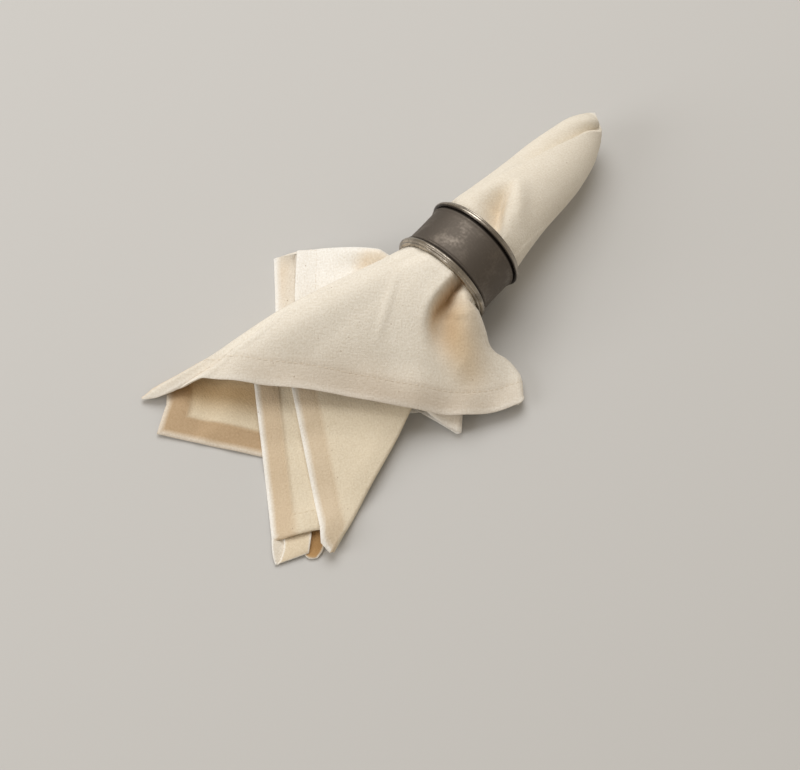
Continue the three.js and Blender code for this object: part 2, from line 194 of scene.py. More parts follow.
# Creases. The gathered valley also sinks the layers under it.
GATHER = crease(
    (-3, -9.2, 1.8, 0.6, 2), (-12.5, -9.2, 3, 0.6, 9), (-18, -8.8, 5.4, 0.7, 12),
    (-23, -8.4, 7.8, 0.9, 10.6), (-27.5, -10.2, 9.6, 1.7, 7.6), (-30.5, -14.5, 10.5, 3.2, 5.2),
    (-32, -20.5, 10, 5.5, 3), (-31.5, -29, 8, 7, 0),
)
EAR_CREST = crease(
    (-13, 17, 4, 5, -4), (-16, 28, 3.4, 5, -9), (-19, 38, 4, 5, -5.5), (-23.5, 46, 5, 5, -2),
    (-28, 53, 5, 5, 0),
)
EAR_CREST_SHARES = {EAR_RANK: 1, BOTTOM_RANK: 0.55}
TOP_CREASES = {
    "round of the flap": crease(
        (-27, 9, 22, 12, 0), (-47, 16, 25, 14, -4.5), (-70, 25, 25, 14, -6), (-86, 34, 22, 11, -3.5),
        (-103, 47, 12, 6, 0),
    ),
    "hem trough": crease(
        (-62, 6, 4.5, 4.5, 0), (-50, -11, 4.5, 4.5, 0.8), (-34, -34, 4.5, 4.5, 0.9), (-25, -44, 4, 4, 0),
    ),
    "lip of the gathered valley": crease(
        (-9, -7.6, 0.8, 3, 0), (-16, -7.5, 0.8, 3, -1.2), (-25, -7.2, 1.2, 3.5, -1.1), (-33, -11, 3, 4, 0),
    ),
    "pale streak": crease(
        (-24, 11, 1.3, 1.3, 0), (-32, 7.5, 1.3, 1.3, -0.7), (-42, 3, 1.3, 1.3, -0.7),
        (-51, -1, 1.3, 1.3, 0),
    ),
    "dent at the rim": crease(
        (-10, 8, 2.2, 2.2, 0), (-15, 9, 2.4, 2.4, 1.6), (-19, 11, 2.4, 2.4, 1), (-26, 14, 2.4, 2.4, 0),
    ),
    "round of the right lobe": crease(
        (-6, -15, 2.6, 2.6, 0), (-13, -17, 2.4, 3, -2), (-16.5, -21, 3, 4, -2.6),
        (-18.5, -26, 3.5, 4.5, -1.4), (-22, -31, 4, 4.5, 0),
    ),
    "foot of the right lobe": crease((-15, -28, 4, 3, 1), (-21, -35, 4.5, 4, 1.4), (-29, -41, 4.5, 4, 0)),
    "dent behind the ring": crease(
        (12.5, -8, 5, 2.4, 4.5), (18, -4.5, 6.4, 2.2, 8.4), (24, -1.2, 6.6, 1.8, 9.4),
        (30, 1.8, 5.2, 1.7, 6.4), (37, 5.5, 4, 3, 0),
    ),
    "ridge beside that dent": crease(
        (41, 4, 3, 2.6, 0), (36.3, 0, 3, 2.6, -2), (32, -4.2, 3, 2.6, -2.8), (27.3, -8.2, 3, 2.6, -2),
        (21, -12.5, 3, 2.6, 0),
    ),
}

# Places where a layer stands up from what it lies on.
LIFTS = table(
    "rank x y radius height",
    (2, -117, -31, 9, 4.6),
    (3, -120, -25.5, 14, 3.4),
    (6, -44, 50, 13, 0.4),
    (5, -120, 50, 12, 1.2),
)

# Slight waviness of the spread layers, each layer a little differently.
WAVES = table(
    "length angle size shift", (43, 20, 0.35, 0.4), (27, 75, 0.25, 1.9), (17, -40, 0.15, 4.1),
)
RANK_SHIFT = 0.5

# Sections of the pinched end: half width, half height, the middle of the section, its twist, and how far the
# bottom of the groove lies from its middle before the section is squeezed. The inner pleats part inside the
# ring and close up behind it.
TIP_SECTIONS = table(
    "x wide high mid_y mid_z turn groove",
    (15, 18.4, 18.4, 0, 22, 2, 18.4),
    (28, 16.9, 15.8, 0.6, 19.6, 8, 18.4),
    (45, 15.2, 13.4, 0.9, 17, 26, 17.4),
    (54, 14.5, 12.4, 0.9, 16, 34, 12.6),
    (62, 13.7, 11.6, 0.9, 15.2, 42, 10.2),
    (74, 11.4, 10.2, 1.2, 14.2, 59, 9.4),
    (81, 9.2, 9, 1.9, 13.9, 78, 10),
    (85, 7.2, 7.9, 2, 14.1, 108, 11),
    (88, 4.8, 6.4, 1.8, 14.9, 138, 12.4),
)
TIP_END = (91.4, 3.2, 18.4)
TIP_ROWS = 38
TIP_SINKS = 10
PLEATS_CLOSE = (15, 30)
PLEATS_PART = (-4, 13)
GROOVE_ANGLE = math.radians(29)
GROOVE_POWER = 1.5
RING_STATIONS = (-11.8, -7, 0, 8)

# Rows of the spread: distances from the hem, and then rows that crowd towards the ring's mouth.
HEM_ROWS = np.array([0, 0.12, 0.4, 0.9, 1.6, 3, 5, 7, 7.8, 8.3, 8.8, 9.2, 9.6, 10, 10.6, 12, 14.5])
HEM_SHARE_MOST = 0.55
BODY_ROWS = 30
ROW_CROWDING = 1.25
HALVINGS = 40
CREASE_STEPS = 5
LAST_STEP_ROUND = 2

# Stitches along the hem.
STITCH_LENGTH = 1.7
STITCH_PITCH = 2.4
STITCH_THICK = 0.3
STITCH_SIDES = 6
STITCH_RINGS = 5
STITCH_BLUNT = 0.02

# Rolled end of the narrow strip, as three sheets between places on their left and right sides, from the
# strip
# outwards: a flap that slopes down, a leaf open at its left and a pocket at its right. bulge is how far a
# sheet's end is rounded, and warm, hollow and deep are how much of these painted shade tints it shows, most
# in the pocket, which lies in shade.
END_SHEETS = table(
    "bulge warm hollow deep left right",
    (0, 0.9, 0.15, 0,
     [(-126.2, -18.6, 1), (-127.9, -20.7, 1.3), (-130.5, -23.2, 1.6), (-134.6, -25.2, 1.3),
      (-136.6, -25.4, 1)],
     [(-116.6, -24.2, 1.4), (-118.4, -26.6, 2), (-120.7, -28.5, 2.4), (-123.4, -30.3, 2.2),
      (-125.4, -31.6, 1.4)]),
    (0, 0.4, 0.1, 0,
     [(-128.6, -15.2, 1.3), (-131.1, -17.4, 2.1), (-133.6, -19.9, 2.2), (-135.7, -22.3, 1.7),
      (-137.3, -24.9, 1)],
     [(-125.5, -19.2, 0.5), (-127.6, -21.6, 0.5), (-130, -23.8, 0.5), (-133.4, -25.4, 0.5),
      (-136.5, -25.7, 0.5)]),
    (1.4, 1, 1, 0.6,
     [(-114.4, -22.8, 0.5), (-119.2, -25.6, 0.5), (-123.1, -28, 0.5), (-126.6, -29.7, 0.7)],
     [(-111.5, -30, 0.9), (-117, -32.8, 0.9), (-121, -34.8, 0.9), (-124.4, -35.3, 0.9)]),
)
# Width over which a sheet's edges lose their tints and show paler: a painted highlight along the edges.
END_PALE = 1.1
END_CLOTH = 0.9
END_LINES = 24
END_STEPS = 6
END_NOSE_LEAST = 0.05

# Ring: a band with a slight waist and a thin line near each end, and two rims of a main bead and a lip.
# The joints between them are dark, and all of it is slightly dented.
RING_SIDES = 160
BAND_RADIUS = 20.6
BAND_INNER = 19.4
BAND_HALF = 9.5
BAND_WAIST = 0.15
BAND_LINE_X = 8.2
BAND_LINE_HIGH = 0.5
BAND_LINE_WIDE = 0.5
BAND_STEPS = 73
RIM_START = 9.4
RIM_END = 12.25
RIM_INNER = 19.2
RIM_WALL = 0.4
RIM_STEPS = 41
RIM_BEADS = table("x radius size", (10.4, 20.9, 1.1), (11.7, 20.5, 0.52))
JOINT_STARTS = (8.4, 9)
JOINT_ENDS = (10.1, 9.6)
JOINT_COLOUR = (0.05, 0.042, 0.036)
RING_DENTS = [(3, 0.05, 0.4, 0), (7, 0.03, 1.9, 0.12), (16, 0.012, 0.3, -0.4)]

# Cotton threads and flecks, the tints that darken the cotton, and how much of each the layers show by rank:
# warm all over, the others at the hem. All the tints paint shade: hollow and deep shade where the cloth lies
# in hollows and under the flap, hem shade for the less light that comes through the doubled cloth of the hem
# bands, and warm shade, strongest on the lower layers in the flap's shade, which also warms all the cotton a
# little. pale is how far an edge loses them, a painted highlight along the rounded edges. The hem across the
# strip's end shows none, and hollows show more.
WARP_PITCH = 0.56
WEFT_PITCH = 0.62
THREAD_WANDER = 0.9
FLECK_SIZE = 0.045
FLECK_COLOUR = (0.36, 0.25, 0.16)
SHADE_TINTS = {
    "hem": (0.86, 0.8, 0.75),
    "warm": (0.84, 0.753, 0.603),
    "hollow": (0.95, 0.75, 0.5),
    "deep": (0.38, 0.24, 0.12),
}
PIECE_TINTS = ("warm", "hollow", "deep")
LAYER_SHOWS = {
    "hem": [0.2, 0.5, 0.9, 1, 1, 1, 0.1, 0.4],
    "warm": [0.42, 0.42, 0.92, 0.92, 1, 1, 0, 0.36],
    "hollow": [0, 0, 0, 0.1, 0.3, 0.3, 0, 0],
    "deep": [0, 0, 0, 0, 0.25, 0.32, 0, 0],
    "pale": [0.3, 0.5, 0.9, 1, 0.5, 0.65, 1, 1],
}
WARM_TIP = 0.52
PLAIN_BENDS = {3: 3}
TINT_FADE = 2.4
PALE_EDGE = 0.9
PALE_FADE = 1.7
# Painted hollow shade on the top layer grows with the depth of the gathered valley, full at this depth, and
# with a share of the depth of the dent behind the ring.
HOLLOW_SHADE_DEPTH = 14
DENT_SHADE_SHARE = 0.45
# Painted hollow shade along lines, by rank: on the layer under the top flap's arch, in the foot of the right
# lobe, and on the ear's two layers by its crest.
HOLLOW_SHADES = {
    5: crease(
        (-108, 54, 6, 7, 0.7), (-101, 45, 7, 7.5, 0.8), (-94, 34, 7, 7.5, 0.8), (-86, 22, 7, 7.5, 0.6),
    ),
    0: crease(
        (-17, -10, 5, 2, 0.4), (-22, -15, 8, 6, 0.7), (-26.5, -20.5, 8, 7, 0.75), (-29.5, -27, 8, 7, 0.65),
        (-31.5, -34, 7, 7, 0.4), (-33, -41, 6, 6, 0),
    ),
    6: crease((-17, 25, 3, 4, 0.3), (-21, 31, 3, 4, 0.5), (-25, 36, 3, 4, 0)),
    7: crease((-42, 58, 3, 4, 0.25), (-52, 50, 3, 4, 0.1)),
}

# Shade on the flap: deep on the valley's steep wall near the ring, lighter in the valley's foot and along
# the hem.
VALLEY_SHADE = crease(
    (-9, -9.2, 1.5, 1, 0.3), (-14, -9.1, 2.4, 1.15, 0.7), (-18.5, -8.7, 2.8, 1.2, 0.62),
    (-23, -8.4, 3, 1.3, 0.35), (-27.5, -10.2, 3.5, 1.6, 0.15), (-30.5, -14.5, 4, 3, 0),
)
VALLEY_FOOT_SHADE = crease(
    (-18, -11.5, 3, 3, 0), (-22.5, -14.5, 5, 6, 0.3), (-27, -18, 6, 7, 0.36), (-30.5, -22.5, 6, 6, 0.26),
    (-33, -29, 5, 5, 0),
)
FLAP_SHADE = crease(
    (-95.6, 38.7, 9, 9, 0), (-87.7, 26.3, 11, 10, 0.14), (-79.8, 13.4, 12, 10, 0.2),
    (-71.6, -0.2, 13, 11, 0.26), (-64.1, -11.8, 12, 12, 0.34), (-56.2, -23.1, 8.5, 12, 0.28),
    (-46.2, -35.3, 7, 12, 0.28), (-36.5, -43.6, 7, 11, 0.2), (-26.9, -49, 10, 10, 0.14),
    (-18.9, -50.7, 8, 8, 0),
)

FAN = sorted({fold["angle"]: fold for fold in FOLDS.values()}.values(), key=lambda fold: fold["angle"])


def fan_read(name, angle):
    return curve_read(FAN, "angle", name, angle)


def fan_bow(angle, distance):
    """How far aside a fan line bends at a distance from the ring's mouth."""
    s = np.clip(distance / BOW_LENGTH, 0, 1)
    first, second = FAN[0]["angle"], FAN[1]["angle"]
    at_right = smooth((second - angle) / (second - first))
    edge = at_right * curve_read(RIGHT_EDGE, "distance", "aside", distance)
    return fan_read("bow", angle) * 4 * s * (1 - s) + edge


def fan_point(angle, distance):
    """Plan point on the fan line of this angle, at a distance from the ring's mouth."""
    along, aside = rotated(distance, fan_bow(angle, distance), np.radians(angle))
    return MOUTH_X - along, fan_read("mouth", angle) * MOUTH_SWELL + aside


def fan_line(x, y):
    """Angle and reach of the fan lines that pass over plan points."""
    low = np.full(len(x), float(FAN[0]["angle"]))
    high = np.full(len(x), float(FAN[-1]["angle"]))
    for _ in range(HALVINGS):
        angle = (low + high) / 2
        start_x, start_y = fan_point(angle, 0)
        reach, aside = rotated(start_x - x, y - start_y, -np.radians(angle))
        left = aside > fan_bow(angle, reach)
        low = np.where(left, angle, low)
        high = np.where(left, high, angle)
    return low, reach


def soft_curve(points, steps):
    """Points along a soft curve through a few given ones."""
    padded = np.vstack([2 * points[0] - points[1], points, 2 * points[-1] - points[-2]])
    found = []
    for a, b, c, d in zip(padded, padded[1:], padded[2:], padded[3:]):
        for t in np.arange(steps) / steps:
            bend = (2 * a - 5 * b + 4 * c - d) * t**2 + (3 * b - 3 * c + d - a) * t**3
            found.append(b + ((c - a) * t + bend) / 2)
    return np.array([*found, points[-1]])


def even_steps(points, step):
    """Points at about even steps along straight lines between given points, which stay."""
    found = [points[0]]
    for a, b in zip(points, points[1:]):
        steps = max(1, round(float(np.linalg.norm(b - a)) / step))
        found += [mix(a, b, s / steps) for s in range(1, steps + 1)]
    return np.array(found)


def overrun(points):
    """A line made longer at both ends."""
    before = unit(points[0] - points[1]) * HEM_OVERRUN
    after = unit(points[-1] - points[-2]) * HEM_OVERRUN
    return np.vstack([points[0] + before, points, points[-1] + after])


def hem_of(layer):
    """A layer's hem as places on the fan, with how slanting it lies to the fan lines."""
    angles = [FOLDS[layer[end]]["angle"] for end in ("start", "end")]
    reaches = [layer["start_reach"], layer["end_reach"]]
    first, last = (fan_point(*place) for place in zip(angles, reaches))
    bends = np.array([first, *layer["hem"], last], float)
    if layer["curved"]:
        bends = soft_curve(bends, HEM_CURVE_STEPS)
    points = even_steps(bends, layer["step"])
    angle, reach = fan_line(points[:, 0], points[:, 1])
    angle[[0, -1]] = angles
    reach[[0, -1]] = reaches
    run = unit(np.gradient(points, axis=0))
    away = np.stack([-np.cos(np.radians(angle)), np.sin(np.radians(angle))], 1)
    across = np.abs(run[:, 0] * away[:, 1] - run[:, 1] * away[:, 0])
    slant = np.minimum(1 / np.maximum(across, TINY), SLANT_MOST)
    padded = np.pad(slant, SLANT_SPAN, mode="edge")
    slant = np.convolve(padded, np.full(2 * SLANT_SPAN + 1, 1 / (2 * SLANT_SPAN + 1)), mode="valid")
    tinted = overrun(bends[PLAIN_BENDS.get(layer["rank"], 0):])
    return dict(angle=angle, reach=reach, slant=slant, line=overrun(bends), tinted=tinted)


HEMS = [hem_of(layer) for layer in LAYERS]


def by_angle(hem):
    order = np.argsort(hem["angle"], kind="stable")
    return hem["angle"][order], hem["reach"][order]


HEM_BY_RANK = {layer["rank"]: by_angle(hem) for layer, hem in zip(LAYERS, HEMS)}


def cover(rank, angle, distance):
    """1 where a layer lies, fading to 0 over a short way outside its folds and hem."""
    angles, reaches = HEM_BY_RANK[rank]
    outside = np.maximum(np.maximum(angles[0] - angle, angle - angles[-1]), 0)
    beside = np.radians(outside) * distance
    beyond = np.maximum(distance - np.interp(angle, angles, reaches), 0)
    return smooth(1 - beside / EDGE_FADE) * smooth(1 - beyond / EDGE_FADE)


def rest_height(rank, angle, distance):
    """Height at which a layer rests on all the layers under it."""
    under = range(rank + 1, BOTTOM_RANK + 1)
    return CLOTH / 2 + LAYER_PITCH * sum(cover(lower, angle, distance) for lower in under)


def bundle_height(rank, y):
    """Height of a layer in the ring, where the layers fill a round bundle."""
    return (1 - 2 * rank / BOTTOM_RANK) * np.sqrt(BUNDLE_RADIUS**2 - y**2)


def along_line(line, x, y):
    """Place of plan points along a line, counted in its points, and how far to its left they lie."""
    nearest = np.full(x.shape, np.inf)
    place = np.zeros(x.shape)
    aside = np.zeros(x.shape)
    for i, (a, b) in enumerate(zip(line, line[1:])):
        run = b - a
        t = np.clip(((x - a[0]) * run[0] + (y - a[1]) * run[1]) / (run @ run), 0, 1)
        off_x = x - a[0] - t * run[0]
        off_y = y - a[1] - t * run[1]
        apart = np.hypot(off_x, off_y)
        nearer = apart < nearest
        nearest = np.where(nearer, apart, nearest)
        place = np.where(nearer, i + t, place)
        aside = np.where(nearer, np.copysign(apart, run[0] * off_y - run[1] * off_x), aside)
    return place, aside


def crease_depth(rows, x, y):
    """How deep a crease is at plan points."""
    line = soft_curve(np.stack([column_of(rows, "x"), column_of(rows, "y")], 1), CREASE_STEPS)
    place, aside = along_line(line, x, y)
    at_rows = np.arange(len(rows)) * CREASE_STEPS

    def read(name):
        return np.interp(place, at_rows, column_of(rows, name))

    width = np.where(aside > 0, read("left"), read("right"))
    return read("depth") * np.exp(-((aside / width) ** 2))


def top_creases(x, y):
    return sum(crease_depth(rows, x, y) for rows in TOP_CREASES.values())


def spread_height(rank, angle, distance, u):
    """Height of a layer in the spread, from the ring's mouth (u = 0) to its hem (u = 1)."""
    at_mouth = RING_HEIGHT + bundle_height(rank, fan_read("mouth", angle)) * MOUTH_SWELL
    rest = rest_height(rank, angle, distance)
    if rank == TOP_RANK:
        lift = curve_read(TOP_DRAPE, "angle", "lift", angle)
        fall = curve_read(TOP_DRAPE, "angle", "fall", angle)
        return mix(rest + lift, at_mouth, (1 - np.clip(u, 0, 1)) ** fall)
    fall_length = BOTTOM_FALL + FALL_PER_LAYER * (BOTTOM_RANK - rank)
    if rank == EAR_RANK:
        fall_length = fall_length + EAR_PUFF * smooth((angle - FOLDS["ridge"]["angle"]) / EAR_PUFF_SPAN)
    return mix(rest, at_mouth, (1 - np.clip(distance / fall_length, 0, 1)) ** 2)


def layer_height(rank, angle, distance, u, x, y):
    """Height of a layer with its gathered valley, creases and lifts."""
    height = spread_height(rank, angle, distance, u)
    height = height - crease_depth(GATHER, x, y) * (1 - rank / BOTTOM_RANK)
    if rank == TOP_RANK:
        height = height - top_creases(x, y)
    if rank in EAR_CREST_SHARES:
        height = height - crease_depth(EAR_CREST, x, y) * EAR_CREST_SHARES[rank]
    for wave in WAVES:
        a = math.radians(wave["angle"])
        phase = (x * math.cos(a) + y * math.sin(a)) / wave["length"] * 2 * math.pi
        height = height + wave["size"] * np.sin(phase + wave["shift"] + rank * RANK_SHIFT) * smooth(u)
    for lift in LIFTS:
        if lift["rank"] == rank:
            apart = np.hypot(x - lift["x"], y - lift["y"]) / lift["radius"]
            height = height + lift["height"] * np.exp(-(apart**2))
    return height


def loop_columns():
    """One column for each place round the cloth's loop: on a layer, or on the fold that follows it."""
    rows = []
    for i, layer in enumerate(LAYERS):
        follows = (i + 1) % len(LAYERS)
        start = FOLDS[layer["start"]]
        fold = FOLDS[layer["end"]]
        hem = HEMS[i]
        share = (fan_read("mouth", hem["angle"]) - start["mouth"]) / (fold["mouth"] - start["mouth"])
        even = np.linspace(0, 1, len(share))
        for place in zip(hem["angle"], hem["reach"], hem["slant"], share, even):
            rows.append((i, follows, 0.0, *place))
        for s in range(1, FOLD_STEPS):
            turn = s / FOLD_STEPS
            reach = mix(layer["end_reach"], LAYERS[follows]["start_reach"], float(smooth(2 * turn)))
            slant = mix(hem["slant"][-1], HEMS[follows]["slant"][0], turn)
            rows.append((i, follows, turn, fold["angle"], reach, slant, 1.0, 1.0))
    names = ("layer", "follows", "turn", "angle", "reach", "slant", "share", "even")
    columns = {name: np.array(values) for name, values in zip(names, zip(*rows))}
    for name in ("side", "round", "tip_round", "most"):
        columns[name] = np.array([FOLDS[LAYERS[i]["end"]][name] for i in columns["layer"]])
    columns["out"] = columns["side"] * np.sin(np.pi * columns["turn"])
    columns["turned"] = (1 - np.cos(np.pi * columns["turn"])) / 2
    return columns


def spread_points(columns, distance):
    """Points of the cloth's middle surface at distances from the ring's mouth, a row for each distance."""
    angle = np.broadcast_to(columns["angle"], distance.shape)
    u = distance / columns["reach"]
    x, y = fan_point(angle, distance)

    def height_of(ranks):
        found = np.zeros(distance.shape)
        for rank in range(BOTTOM_RANK + 1):
            mine = ranks == rank
            found[:, mine] = layer_height(rank, *(values[:, mine] for values in (angle, distance, u, x, y)))
        return found

    height = height_of(RANKS[columns["layer"]])
    next_height = height_of(RANKS[columns["follows"]])
    open_round = np.clip(np.abs(height - next_height) / 2, ROUND_LEAST, columns["most"])
    bulge = mix(columns["round"], open_round, smooth(distance / ROUND_OPENS))
    out = columns["out"] * bulge
    a = np.radians(angle)
    z = mix(height, next_height, columns["turned"])
    return np.stack([x + out * np.sin(a), y + out * np.cos(a), z], -1)


def bundle_points(columns, closed):
    """Y and Z of columns through the round bundle. closed is how far the inner pleats have closed up."""
    layer = columns["layer"]

    def sides(name):
        return np.array([mix(FOLDS[row[name]]["mouth"], FOLDS[row[name]]["tip"], closed) for row in LAYERS])

    y = mix(sides("start")[layer], sides("end")[layer], mix(columns["share"], columns["even"], closed))
    z = mix(bundle_height(RANKS[layer], y), bundle_height(RANKS[columns["follows"]], y), columns["turned"])
    bulge = mix(columns["round"], columns["tip_round"], closed)
    return np.stack([y + columns["out"] * bulge, z], -1)


def parted_points(columns, groove_radius):
    """Section of the pinched end with the ear's lobe and the inner pleats on the two sides of one groove."""
    rank = RANKS[columns["layer"]]
    folded = columns["turn"] > 0
    first = int(np.argmax((rank == BOTTOM_RANK) & folded))
    last = int(np.flatnonzero((rank == EAR_RANK) & ~folded)[-1])
    section = bundle_points(columns, 1.0)
    t = np.arange(1, last - first + 2) / (last - first + 2)
    ear = section[first - 1]
    angle = mix(math.atan2(ear[1], ear[0]), GROOVE_ANGLE, t)
    radius = mix(BUNDLE_RADIUS, groove_radius, smooth(t**GROOVE_POWER))
    section[first:last + 1] = np.stack(rotated(radius, 0, angle), 1)
    ridge_y = FOLDS["ridge"]["tip"]
    ridge = np.array([ridge_y, bundle_height(TOP_RANK, ridge_y)])
    groove = np.array(rotated(groove_radius, 0, GROOVE_ANGLE))
    share = np.arange(len(rank) - last - 1) / (len(rank) - last - 1)
    section[last + 1:] = mix(groove, ridge, share[:, None])
    return section


def tip_points(columns, x):
    """Points of the cloth's middle surface round the pinched end at a place along it."""

    def stage(start, end):
        return float(smooth((x - start) / (end - start)))

    def read(name):
        return float(curve_read(TIP_SECTIONS, "x", name, x))

    section = bundle_points(columns, stage(*PLEATS_CLOSE))
    section = mix(section, parted_points(columns, read("groove")), stage(*PLEATS_PART))
    turn = math.radians(read("turn") * min(1, (x - MOUTH_X) / (BACK_X - MOUTH_X)))
    y, z = rotated(section[:, 0], section[:, 1], turn)
    mid_z = mix(RING_HEIGHT, read("mid_z"), float(np.clip((x - BACK_X) / TIP_SINKS, 0, 1)))
    y = read("mid_y") + y * read("wide") / BUNDLE_RADIUS
    upper = smooth(z / BUNDLE_RADIUS * 2)
    along = np.full(len(y), x)
    sunk = top_creases(along, y) + crease_depth(GATHER, along, y)
    z = mid_z + z * read("high") / BUNDLE_RADIUS - upper * sunk
    return np.stack([along, y, z], -1)


def row_distances(columns):
    """Distance of each row from the ring's mouth, for every column."""
    scale = np.minimum(columns["slant"], HEM_SHARE_MOST * columns["reach"] / HEM_ROWS[-1])
    near = columns["reach"] - HEM_ROWS[:, None] * scale
    body = (np.arange(BODY_ROWS)[::-1] / BODY_ROWS) ** ROW_CROWDING
    return np.vstack([near, near[-1] * body[:, None]])


def inset_from_hem(columns, x, y, line):
    """Distance in plan of cloth points from their own hem's line of this name."""
    found = []
    for name in ("layer", "follows"):
        inset = np.zeros(x.shape)
        for i, hem in enumerate(HEMS):
            mine = columns[name] == i
            inset[:, mine] = np.abs(along_line(hem[line], x[:, mine], y[:, mine])[1])
        found.append(inset)
    return mix(*found, columns["turn"])


def cloth_grid():
    """Rows of points of the cloth's middle surface, from the hem through the ring to the pinched end, and
    how far each lies from the hem."""
    columns = loop_columns()
    spread = spread_points(columns, row_distances(columns))
    inset = inset_from_hem(columns, spread[..., 0], spread[..., 1], "line")
    inset[0] = 0
    stations = [*RING_STATIONS, *np.linspace(BACK_X, TIP_SECTIONS[-1]["x"], TIP_ROWS)]
    tip = np.array([tip_points(columns, float(x)) for x in stations])
    far = np.full(tip.shape[:2], FAR_FROM_HEM)
    return columns, np.concatenate([spread, tip]), np.concatenate([inset, far])


def grid_normals(grid):
    """Outward normals of rows of points that run round a loop."""
    around = np.roll(grid, -1, axis=1) - np.roll(grid, 1, axis=1)
    down = np.gradient(grid, axis=0)
    return unit(np.cross(around, down))


def rounded_edge(inset, radius, least):
    """Share of its thickness that a sheet has at a distance from its edge."""
    return np.sqrt(1 - (1 - np.clip(inset / radius, least, 1)) ** 2)


def hem_profile(inset):
    """How far the two faces of the cloth stand from its middle surface."""
    nose = rounded_edge(inset, HEM_NOSE, HEM_NOSE_LEAST)
    band = smooth((HEM_WIDTH + HEM_STEP_WIDTH / 2 - inset) / HEM_STEP_WIDTH)
    dip = STITCH_DIP * np.exp(-(((inset - STITCH_INSET) / STITCH_DIP_WIDTH) ** 2))
    outer = (CLOTH / 2 - dip) * nose
    inner = (CLOTH / 2 + HEM_EXTRA * band - dip) * nose
    return outer[..., None], inner[..., None]


def add_object(name, data):
    made = bpy.data.objects.new(name, data)
    scene.collection.objects.link(made)
    return made


def add_mesh(name, points, faces, material):
    """A smooth mesh object from points in millimetres about the ring's place."""
    mesh = bpy.data.meshes.new(name)
    mesh.from_pydata((np.asarray(points) * MM + np.array(RING_PLACE)).tolist(), [], faces)
    mesh.polygons.foreach_set("use_smooth", [True] * len(mesh.polygons))
    mesh.materials.append(material)
    return add_object(name, mesh)


def loop_faces(rows, across, offset=0, flip=False):
    """Faces between rows of points that run round a loop."""
    j, i = np.meshgrid(np.arange(rows - 1), np.arange(across), indexing="ij")
    a = offset + j * across + i
    b = offset + j * across + (i + 1) % across
    quads = np.stack([a, b, b + across, a + across], -1).reshape(-1, 4)
    return quads[:, ::-1] if flip else quads


def cloth_map(columns, grid, spread_rows):
    """Places on the flat cloth, in millimetres along and across its threads, for each corner of the faces.
    Folds are unrolled from the layer before them."""
    rows, across = grid.shape[:2]
    plan = grid[..., :2].copy()
    ahead = np.roll(plan, -1, axis=1)
    steps = np.linalg.norm(np.roll(grid, -1, axis=1) - grid, axis=-1)
    for c in np.flatnonzero(columns["turn"]):
        a = math.radians(columns["angle"][c])
        out = columns["side"][c] * np.array([math.sin(a), math.cos(a)])
        plan[:, c] = plan[:, c - 1] + steps[:, c - 1, None] * out
        ahead[:, c - 1] = plan[:, c]
        ahead[:, c] = plan[:, c] + steps[:, c, None] * out
    ring_row = grid[spread_rows + len(RING_STATIONS)]
    gaps = np.linalg.norm(ring_row - np.roll(ring_row, 1, axis=0), axis=1)
    gaps[0] = 0
    around = np.cumsum(gaps)
    j, i = np.meshgrid(np.arange(rows - 1), np.arange(across), indexing="ij")
    k = (i + 1) % across
    step_round = np.where(i == across - 1, LAST_STEP_ROUND, around[k] - around[i])
    grain = np.radians([layer["grain"] for layer in LAYERS])[columns["layer"][i]]
    found = []
    for row, further in ((j, 0), (j, 1), (j + 1, 1), (j + 1, 0)):
        x, y = np.moveaxis((ahead if further else plan)[row, i], -1, 0)
        flat = np.stack(rotated(x, y, -grain), -1)
        round_tip = np.stack([around[i] + further * step_round, grid[row, k if further else i][..., 0]], -1)
        found.append(np.where((j >= spread_rows - 1)[..., None], round_tip, flat))
    return np.stack(found, -2).reshape(-1, 4, 2)


def cloth_tints(columns, grid, inset):
    """How much of each painted shade tint the points of the cloth show."""
    x, y = grid[..., 0], grid[..., 1]
    rank = RANKS[columns["layer"]]
    flat = columns["turn"] == 0
    on_top = flat & (rank == TOP_RANK)
    in_spread = inset < FAR_FROM_HEM
    from_hem = np.where(in_spread, inset_from_hem(columns, x, y, "tinted"), FAR_FROM_HEM)
    band = smooth((HEM_WIDTH + TINT_FADE / 2 - from_hem) / TINT_FADE)
    shown = {}
    for name, shows in LAYER_SHOWS.items():
        of_layer = np.array(shows)[RANKS]
        shown[name] = mix(of_layer[columns["layer"]], of_layer[columns["follows"]], columns["turn"])
    # Painted shade: hollow shade in the gathered valley, the dent behind the ring and the listed hollows,
    # deep shade on the valley's wall and foot and along the flap's hem, and both on the hem bands of some
    # layers.
    depth = crease_depth(GATHER, x, y) + DENT_SHADE_SHARE * crease_depth(TOP_CREASES["dent behind the ring"], x, y)
    hollow = np.maximum(shown["hollow"] * band, depth / HOLLOW_SHADE_DEPTH * on_top)
    for of_rank, line in HOLLOW_SHADES.items():
        hollow = np.maximum(hollow, crease_depth(line, x, y) * (flat & (rank == of_rank) & in_spread))
    hollow = np.minimum(hollow, 1)
    shade = np.max([crease_depth(line, x, y) for line in (VALLEY_SHADE, VALLEY_FOOT_SHADE, FLAP_SHADE)], axis=0)
    deep = np.maximum(shown["deep"] * band, shade * on_top)
    warm = np.where(in_spread, shown["warm"], WARM_TIP)
    # Edges lose the tints, a painted highlight along their rounding.
    inner = 1 - shown["pale"] * (1 - smooth((from_hem - PALE_EDGE) / PALE_FADE))
    tints = {"hem": shown["hem"] * band, "warm": warm, "hollow": hollow, "deep": deep}
    return {name: values * inner for name, values in tints.items()}


def add_tints(made, tints):
    for name, values in tints.items():
        attribute = made.data.attributes.new(name, "FLOAT", "POINT")
        attribute.data.foreach_set("value", np.asarray(values, float))


